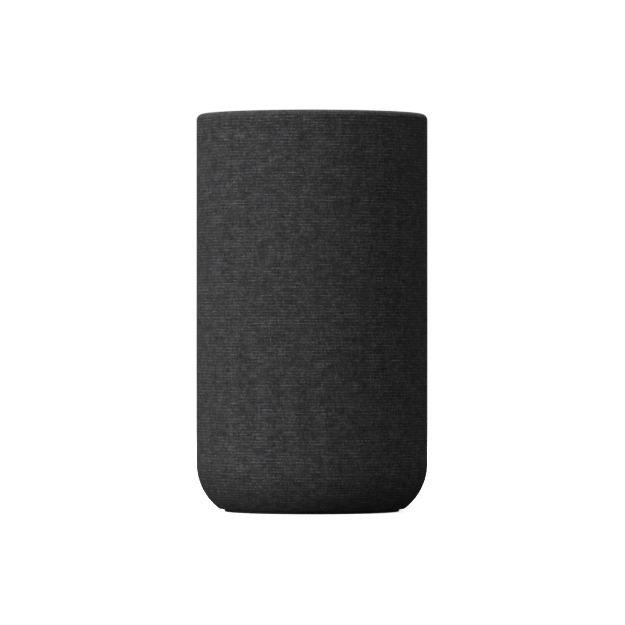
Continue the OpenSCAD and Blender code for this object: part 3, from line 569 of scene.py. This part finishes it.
def power_part_rule(c, n):
    """The choke's winding, the sockets, and the power chips' legs."""
    if math.hypot(c.x - CHOKE_AT[0], c.y - CHOKE_AT[1]) < CHOKE_R + 0.5:
        return 1
    if c.x < -41 or (c.y > 16 and abs(c.x) < 8) or 28 < c.y < 38:
        return 2
    return 3 if 1 < c.y < 5.2 and c.z < power_top + 2 else 0


def main_part_rule(c, n):
    """The bare chips beside the shields, and the ribbon sockets."""
    if c.x < -34 or (0.8 < c.y < 5.4 and -6.4 < c.x < 6.4):
        return 2
    return 1 if c.x < -16.5 and c.y < -3 else 0


def icon_rule(node):
    """Floor and walls of a button's sunk symbol."""
    lo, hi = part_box(node)
    x, y = (lo.x + hi.x) / 2 / MM, (lo.y + hi.y) / 2 / MM
    floor = hi.z / MM - SYMBOL_DEPTH

    def rule(c, n):
        if c.z < floor - 0.04 or math.hypot(c.x - x, c.y - y) > SYMBOL_R:
            return 0
        return 1 if n.z < 0.5 or c.z < floor + 0.04 else 0

    return rule


def coil_rule(c, n):
    """The wire on the outside of the former."""
    return 1 if math.hypot(c.x - coil_axis.x, c.z - coil_axis.z) > 10.15 else 0


paint("transformer", "core", transformer_rule, "bobbin", "tape")
paint("power_board_parts", "chip", power_part_rule, "copper", "socket", "tin")
paint("main_board_parts", "tin", main_part_rule, "chip", "socket")
paint("bulk_capacitors", "sleeve", lambda c, n: 1 if c.z > power_top + 21.3 else 0, "alloy")
for node in ("volume_up_button", "volume_down_button", "mic_mute_button", "action_button"):
    paint(node, "button", icon_rule(node), "icon")
paint("woofer_voice_coil", "former", coil_rule, "coil")

# ---------------------------------------------------------------- meshes


def new_object(name, verts, faces, material, uvs):
    mesh = bpy.data.meshes.new(name)
    mesh.from_pydata([tuple(v) for v in verts], [], [tuple(f) for f in faces])
    mesh.validate()
    mesh.materials.append(material)
    layer = mesh.uv_layers.new(name="Weave")
    layer.data.foreach_set("uv", np.asarray(uvs, np.float32).ravel())
    mesh.polygons.foreach_set("use_smooth", [True] * len(mesh.polygons))
    mesh.update()
    obj = bpy.data.objects.new(name, mesh)
    COLLECTION.objects.link(obj)
    return obj


def arc(cx, cz, r, start, stop, count):
    """Points and outward normals on an arc, angles in degrees."""
    turns = [(math.cos(t), math.sin(t)) for t in np.radians(np.linspace(start, stop, count))]
    return [(cx + r * c, cz + r * s, c, s) for c, s in turns]


def sleeve_meridian():
    """(r, z, normal r, normal z) in mm, from the hem under the body to the hem inside the rim."""
    start = math.degrees(math.asin((FOOT_H - CORNER_Z) / CORNER_R))
    turn_r = CORNER_X + CORNER_R * math.cos(math.radians(start))
    rows = [(r, FOOT_H, 0.0, -1.0) for r in np.linspace(HEM_R, turn_r - 0.5, 3)]
    rows += [(turn_r - 0.12, FOOT_H + 0.03, 0.3, -0.954)]
    rows += arc(CORNER_X, CORNER_Z, CORNER_R, start + 0.8, 0, 28)
    port = PORT_H / 2 + 2.5
    fine = np.arange(PORT_Z - port, PORT_Z + port, 0.9)
    wall = [z for z in fine if z > CORNER_Z + 0.4]
    wall += list(np.linspace(wall[-1] + 1.2, BODY_H - RIM_R - 1.2, 106))
    rows += [(BODY_R, z, 1.0, 0.0) for z in wall]
    rows += arc(BODY_R - RIM_R, BODY_H - RIM_R, RIM_R, 0, 90, 10)
    rows += arc(LIP_R + RIM_INNER_R, BODY_H - RIM_INNER_R, RIM_INNER_R, 90, 180, 7)
    rows += [(LIP_R, z, -1.0, 0.0) for z in np.linspace(BODY_H - 2.2, BODY_H - RECESS_DEPTH, 4)]
    return np.array(rows)


def sleeve_angles():
    """Angles from the rear centre, finer across the rear port."""
    half = math.asin((PORT_W / 2 + 2.5) / BODY_R)
    fine = np.linspace(-half, half, 58)
    rest = np.linspace(half, 2 * math.pi - half, 168)[1:-1]
    return np.sort(np.mod(np.concatenate([fine, rest]), 2 * math.pi))


def to_outline(x, z):
    """Distance from the port's outline, negative inside, and the nearest point on it."""
    straight = (PORT_W - PORT_H) / 2
    cx = np.clip(x, -straight, straight)
    dx, dz = x - cx, z - PORT_Z
    length = max(math.hypot(dx, dz), 1e-9)
    d = length - PORT_H / 2
    return d, cx + dx / length * PORT_H / 2, PORT_Z + dz / length * PORT_H / 2


def make_sleeve():
    rows = sleeve_meridian()
    angles = sleeve_angles()
    n_rows, n_cols = len(rows), len(angles)
    steps = np.hypot(np.diff(rows[:, 0]), np.diff(rows[:, 1]))
    arc_length = np.concatenate([[0], np.cumsum(steps)])
    phi = np.tile(angles, (n_rows, 1))
    r, z, nr, nz = (np.tile(rows[:, k][:, None], (1, n_cols)) for k in range(4))
    length = np.tile(arc_length[:, None], (1, n_cols))

    # Cells whose middle is inside the port are left out, and the corners round it move onto its outline
    rear = np.cos(phi) > 0
    x = r * np.sin(phi)
    flat = np.abs(nr - 1) < 1e-6
    near = rear & flat & (np.abs(z - PORT_Z) < PORT_H / 2 + 3) & (np.abs(x) < PORT_W / 2 + 3)
    nxt = (np.arange(n_cols) + 1) % n_cols
    keep = np.ones((n_rows - 1, n_cols), bool)
    for i in range(n_rows - 1):
        for j in np.nonzero(near[i])[0]:
            k = nxt[j]
            if near[i + 1, j] and near[i, k] and near[i + 1, k]:
                mid_x = (x[i, j] + x[i, k] + x[i + 1, j] + x[i + 1, k]) / 4
                mid_z = (z[i, j] + z[i + 1, j]) / 2
                keep[i, j] = to_outline(mid_x, mid_z)[0] > 0
    touched = {}
    for i in range(n_rows - 1):
        for j in np.nonzero(near[i])[0]:
            for p in ((i, j), (i, nxt[j]), (i + 1, j), (i + 1, nxt[j])):
                touched.setdefault(p, set()).add(bool(keep[i, j]))
    for (i, j), kinds in touched.items():
        if len(kinds) == 2:
            _, px, pz = to_outline(x[i, j], z[i, j])
            phi[i, j] = math.asin(px / BODY_R) % (2 * math.pi)
            length[i, j] += pz - z[i, j]
            z[i, j] = pz

    def shell(depth):
        rr, zz = r - nr * depth, z - nz * depth
        return np.stack([rr * np.sin(phi), rr * np.cos(phi), zz], -1).reshape(-1, 3) * MM

    verts = np.concatenate([shell(0.0), shell(CLOTH_T)])
    offset = n_rows * n_cols
    index = np.arange(offset).reshape(n_rows, n_cols)
    faces, uvs = [], []

    def uv(i, j, wrap):
        u = phi[i, j] + (2 * math.pi if wrap and phi[i, j] < math.pi else 0)
        return (u * BODY_R * MM, length[i, j] * MM)

    def add(quad, wrap, inner):
        ids = [index[p] + (offset if inner else 0) for p in quad]
        faces.append(ids[::-1] if inner else ids)
        coords = [uv(*p, wrap) for p in quad]
        uvs.extend(coords[::-1] if inner else coords)

    edges = {}
    for i in range(n_rows - 1):
        for j in range(n_cols):
            if not keep[i, j]:
                continue
            k = nxt[j]
            wrap = k == 0
            quad = [(i, j), (i + 1, j), (i + 1, k), (i, k)]
            add(quad, wrap, False)
            add(quad, wrap, True)
            for p, q in zip(quad, quad[1:] + quad[:1]):
                edges[(p, q)] = wrap
    for (p, q), wrap in edges.items():
        if (q, p) in edges:
            continue
        faces.append([index[q], index[p], index[p] + offset, index[q] + offset])
        uvs.extend([uv(*q, wrap), uv(*p, wrap), uv(*p, wrap), uv(*q, wrap)])
    return new_object("cloth_sleeve", verts, faces, M["cloth"], uvs)


def tube_along(points, frames, section, name, material):
    """A closed ring of tube: section has (across, out) offsets, frames has each point's two directions."""
    n, m = len(points), len(section)
    verts, faces, uvs = [], [], []
    for p, (side, out) in zip(points, frames):
        for s, t in section:
            verts.append((p + side * s + out * t) * MM)
    lengths = [(points[(i + 1) % n] - points[i]).length for i in range(n)]
    walk = np.concatenate([[0], np.cumsum(lengths)])
    for i in range(n):
        for j in range(m):
            a, b = i * m + j, i * m + (j + 1) % m
            c, d = ((i + 1) % n) * m + (j + 1) % m, ((i + 1) % n) * m + j
            faces.append((a, b, c, d))
            u0, u1 = walk[i] * MM, walk[i + 1] * MM
            v0, v1 = j * 0.35 * MM, (j + 1) * 0.35 * MM
            uvs += [(u0, v0), (u0, v1), (u1, v1), (u1, v0)]
    return new_object(name, verts, faces, material, uvs)


def make_port_hem():
    """The cloth's edge, folded in round the rear port."""
    straight, r = (PORT_W - PORT_H) / 2, PORT_H / 2
    outline = []
    for side in (1, -1):
        for t in np.linspace(-90, 90, 34):
            nx, nz = side * math.cos(math.radians(t)), side * math.sin(math.radians(t))
            outline.append((side * straight + r * nx, r * nz, nx, nz))
        for k in range(1, 20):
            outline.append((side * straight * (1 - k / 10), side * r, 0.0, side))
    points, frames = [], []
    for x, dz, nx, nz in outline:
        x, dz = x + nx * HEM_GAP, dz + nz * HEM_GAP
        y = math.sqrt((BODY_R - HEM_HALF_T) ** 2 - x * x)
        out = Vector((x, y, 0)).normalized()
        along = Vector((y, -x, 0)).normalized()
        side = (along * nx + Vector((0, 0, 1)) * nz).normalized()
        points.append(Vector((x, y, PORT_Z + dz)))
        frames.append((side, out))
    turns = np.linspace(0, 2 * math.pi, 13)[:-1]
    section = [(HEM_HALF_T * math.cos(t), HEM_HALF_W * math.sin(t)) for t in turns]
    return tube_along(points, frames, section, "cloth_port_hem", M["hem"])


sleeve = make_sleeve()
port_hem = make_port_hem()
for piece in (sleeve, port_hem):
    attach(piece, "housing")
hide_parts("fabric_sleeve")

# ---------------------------------------------------------------- drivers' soft parts

WOOFER_ROLL = (23.6, 29.6)
RADIATOR_ROLL = (20, 26.4)
ROLL_T = 0.6
SPIDER_R = (10.3, 20.5)
SPIDER_Z = -11.75
SPIDER_T = 0.5
LEDGE_R = 22.8


def revolve(name, profile, origin, rotation, material, steps=144):
    """A closed profile of (r, z) in mm turned about its own +Z, then placed."""
    place = Matrix.Translation(origin) @ rotation
    m = len(profile)
    verts, faces, uvs = [], [], []
    for i in range(steps):
        a = 2 * math.pi * i / steps
        for r, z in profile:
            verts.append(place @ Vector((r * math.cos(a) * MM, r * math.sin(a) * MM, z * MM)))
    for i in range(steps):
        for j in range(m):
            k, n = (i + 1) % steps, (j + 1) % m
            faces.append((i * m + j, k * m + j, k * m + n, i * m + n))
            for s, q in ((i, j), (i + 1, j), (i + 1, j + 1), (i, j + 1)):
                uvs.append((s * 0.001, q * 0.001))
    return new_object(name, verts, faces, material, uvs)


def half_roll(r_in, r_out, z, flat, ribs=22):
    """The section of a half-roll surround between two glue flats, rounded where they meet."""
    t = ROLL_T
    mid, roll = (r_in + r_out) / 2, (r_out - r_in) / 2

    def crest(radius, start, stop):
        turns = [(math.cos(a), math.sin(a)) for a in np.radians(np.linspace(start, stop, ribs))]
        return [(mid + radius * c, z + 0.2 + radius * s) for c, s in turns]

    section = [(r_out + flat, z), (r_out + flat, z + t)]
    section += [(r_out + 0.25, z + t), (r_out + 0.02, z + t + 0.12)]
    section += crest(roll, 12, 168)
    section += [(r_in - 0.02, z + t + 0.12), (r_in - 0.25, z + t), (r_in - flat, z + t), (r_in - flat, z)]
    return section + crest(roll - t, 178, 2)


def spider_section(r0, r1, waves=5, steps=60):
    """Corrugations between the coil former at r0 and the basket's ledge past r1."""
    mid = []
    for s in np.linspace(0, 1, steps + 1):
        swell = 0.9 * math.sin(s * waves * 2 * math.pi) * math.sin(s * math.pi)
        mid.append((r0 + s * (r1 - r0), SPIDER_Z + swell))
    upper = [(r, z + SPIDER_T / 2) for r, z in mid]
    lower = [(r, z - SPIDER_T / 2) for r, z in reversed(mid)]
    return upper + [(LEDGE_R, SPIDER_Z + SPIDER_T / 2), (LEDGE_R, SPIDER_Z - SPIDER_T / 2)] + lower


def bend_radially(obj, child, origin, axis, r_in, r_out):
    """obj follows child inside r_in and the housing outside r_out, and bends between the two."""
    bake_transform(obj, "housing", child, start=origin, end=origin + axis * 0.01)
    co = np.array([v.co for v in obj.data.vertices], float) - np.array(origin)
    away = co - np.outer(co @ np.array(axis), np.array(axis))
    t = np.clip((r_out - np.linalg.norm(away, axis=1) / MM) / (r_out - r_in), 0, 1)
    weights = obj.data.attributes["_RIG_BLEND"]
    weights.data.foreach_set("value", (t * t * (3 - 2 * t)).astype(np.float32))


front = Vector((0, -1, 0))
cone_lo, cone_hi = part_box("woofer_cone")
woofer_at = Vector((0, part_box("woofer_gasket")[1].y, (cone_lo.z + cone_hi.z) / 2))
facing_front = Matrix.Rotation(math.radians(90), 4, "X")
surround = revolve("woofer_roll", half_roll(*WOOFER_ROLL, 3.2, 2.0), woofer_at, facing_front, M["surround"])
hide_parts("woofer_surround")
bend_radially(surround, "woofer_diaphragm", woofer_at, front, *WOOFER_ROLL)
spider = revolve("woofer_centring_disc", spider_section(*SPIDER_R), woofer_at, facing_front, M["spider"])
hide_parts("woofer_spider")
bend_radially(spider, "woofer_diaphragm", woofer_at, front, SPIDER_R[0] + 0.3, SPIDER_R[1])
for side, name in ((-1, "left_radiator"), (1, "right_radiator")):
    ring_lo, ring_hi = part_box(name + "_surround")
    face_lo, face_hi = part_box(name + "_frame")
    axis = Vector((side, 0, 0))
    ring_mid = (ring_lo + ring_hi) / 2
    outer = face_hi.x if side > 0 else face_lo.x
    at = Vector((outer - side * 2.4 * MM, ring_mid.y, ring_mid.z))
    outwards = Matrix.Rotation(math.radians(90 * side), 4, "Y")
    roll = revolve(name + "_roll", half_roll(*RADIATOR_ROLL, 2.4, 1.9), at, outwards, M["surround"])
    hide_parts(name + "_surround")
    bend_radially(roll, name, at, axis, RADIATOR_ROLL[0] + 0.2, RADIATOR_ROLL[1] - 0.2)

# ---------------------------------------------------------------- leads


def lead(name, x, route, radius, key, node):
    """An insulated wire on a smooth curve through (y, z) points in mm."""
    data = bpy.data.curves.new(name, "CURVE")
    data.dimensions = "3D"
    data.resolution_u = 6
    data.bevel_depth = radius * MM
    data.bevel_resolution = 3
    data.use_fill_caps = True
    spline = data.splines.new("BEZIER")
    spline.bezier_points.add(len(route) - 1)
    for point, (y, z) in zip(spline.bezier_points, route):
        point.co = (x * MM, y * MM, z * MM)
        point.handle_left_type = point.handle_right_type = "AUTO"
    data.materials.append(M[key])
    obj = bpy.data.objects.new(name, data)
    COLLECTION.objects.link(obj)
    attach(obj, "housing")
    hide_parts(node)


# The woofer's and the tweeter's leads drop side by side to the power board
DROP = [(20, 54), (20, 40), (20, 24)]
WOOFER_ROUTE = [(-24, 67.7), (-23, 62), (-18, 58.5), (0, 58), (14, 59), (19.4, 57.5)] + DROP
TWEETER_ROUTE = [(-28.8, 149), (-20, 147.5), (-4, 138), (6, 122), (9, 95), (14, 72), (19.2, 60)] + DROP
SPEAKER_LEAD_R = 0.7
INLET_LEAD_R = 1.0
INLET_ROUTE = [(37.6, 38), (35.5, 37.6), (33.6, 35.5), (33, 32), (33, 26)]
pins_lo, pins_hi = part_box("inlet_pins")
pin_mid = (pins_lo.x + pins_hi.x) / 2 / MM
for side, key, sign in ((-1, "red", "plus"), (1, "black", "minus")):
    lead("woofer_lead_" + sign, side * 3.6, WOOFER_ROUTE, SPEAKER_LEAD_R, key, "speaker_leads")
    lead("tweeter_lead_" + sign, side * 1.2, TWEETER_ROUTE, SPEAKER_LEAD_R, key, "speaker_leads")
for side, key, sign in ((-1, "brown", "live"), (1, "blue", "neutral")):
    lead("inlet_lead_" + sign, pin_mid + side * 4.3, INLET_ROUTE, INLET_LEAD_R, key, "inlet_wires")

# ---------------------------------------------------------------- floor, light, camera


def make_floor():
    """A white sheet, just under the foot so that the two faces don't meet."""
    mesh = bpy.data.meshes.new("floor")
    corners = [(x, y, -0.05 * MM) for x, y in ((-8, -8), (8, -8), (8, 8), (-8, 8))]
    mesh.from_pydata(corners, [], [(0, 1, 2, 3)])
    floor = bpy.data.objects.new("floor", mesh)
    COLLECTION.objects.link(floor)
    g = Graph("floor_paper")
    tooth = g.noise(g.place(), 0.8, 3.0)
    colour = g.ramp(tooth, (0.3, 0.86), (0.7, 0.90))
    g.bsdf.inputs["Emission Color"].default_value = (1, 1, 1, 1)
    g.bsdf.inputs["Emission Strength"].default_value = 0.80
    mesh.materials.append(g.finish(colour, 0.9, Specular_IOR_Level=0.0))
    floor.visible_diffuse = False
    floor.visible_glossy = False


def softbox(name, at, size, watts):
    """A square area light aimed at the middle of the body."""
    data = bpy.data.lights.new(name, "AREA")
    data.size = size
    data.energy = watts
    light = bpy.data.objects.new(name, data)
    light.location = at
    aim = Vector((0, 0, BODY_H / 2 * MM)) - Vector(at)
    light.rotation_euler = aim.to_track_quat("-Z", "Y").to_euler()
    light.visible_camera = False
    COLLECTION.objects.link(light)


def make_world():
    """White to the camera, and a softer glow from above on everything else."""
    world = bpy.data.worlds.new("studio")
    SCENE.world = world
    world.use_nodes = True
    tree = world.node_tree
    tree.nodes.clear()
    out, pick, path, seen, glow, coord, axes, ramp, shift = (
        tree.nodes.new("ShaderNode" + kind)
        for kind in (
            "OutputWorld",
            "MixShader",
            "LightPath",
            "Background",
            "Background",
            "TexCoord",
            "SeparateXYZ",
            "ValToRGB",
            "Math",
        )
    )
    seen.inputs["Color"].default_value = (1, 1, 1, 1)
    seen.inputs["Strength"].default_value = 1.0
    glow.inputs["Strength"].default_value = 0.36
    shift.operation = "MULTIPLY_ADD"
    shift.inputs[1].default_value = shift.inputs[2].default_value = 0.5
    for element, (stop, value) in zip(ramp.color_ramp.elements, ((0.40, 0.10), (0.75, 1.0))):
        element.position = stop
        element.color = grey(value)
    for source, socket in (
        (coord.outputs["Generated"], axes.inputs[0]),
        (axes.outputs[2], shift.inputs[0]),
        (shift.outputs[0], ramp.inputs[0]),
        (ramp.outputs[0], glow.inputs[0]),
        (path.outputs["Is Camera Ray"], pick.inputs[0]),
        (glow.outputs[0], pick.inputs[1]),
        (seen.outputs[0], pick.inputs[2]),
        (pick.outputs[0], out.inputs[0]),
    ):
        tree.links.new(source, socket)


make_floor()
make_world()
softbox("key_left", (-1.15, -0.72, 0.44), 0.9, 24)
softbox("front_fill", (0, -1.35, 0.46), 0.9, 5)
softbox("fill_right", (1.05, -0.85, 0.40), 0.9, 2.2)
softbox("overhead", (-0.20, 0.15, 1.35), 1.0, 26)
softbox("back_fill", (0.10, 1.30, 1.00), 0.5, 8)

SCENE.view_settings.view_transform = "Standard"
SCENE.view_settings.look = "None"

CAMERA_AT = (0, -2.661, 0.097)
CAMERA_AIM = (0.00026, 0, 0.1059)
LENS_DEGREES = 7.16
camera_data = bpy.data.cameras.new("camera")
camera_data.angle = math.radians(LENS_DEGREES)
camera_data.clip_start = 0.05
camera_data.clip_end = 30
camera = bpy.data.objects.new("camera", camera_data)
camera.location = CAMERA_AT
camera.rotation_euler = (Vector(CAMERA_AIM) - Vector(CAMERA_AT)).to_track_quat("-Z", "Y").to_euler()
COLLECTION.objects.link(camera)
SCENE.camera = camera
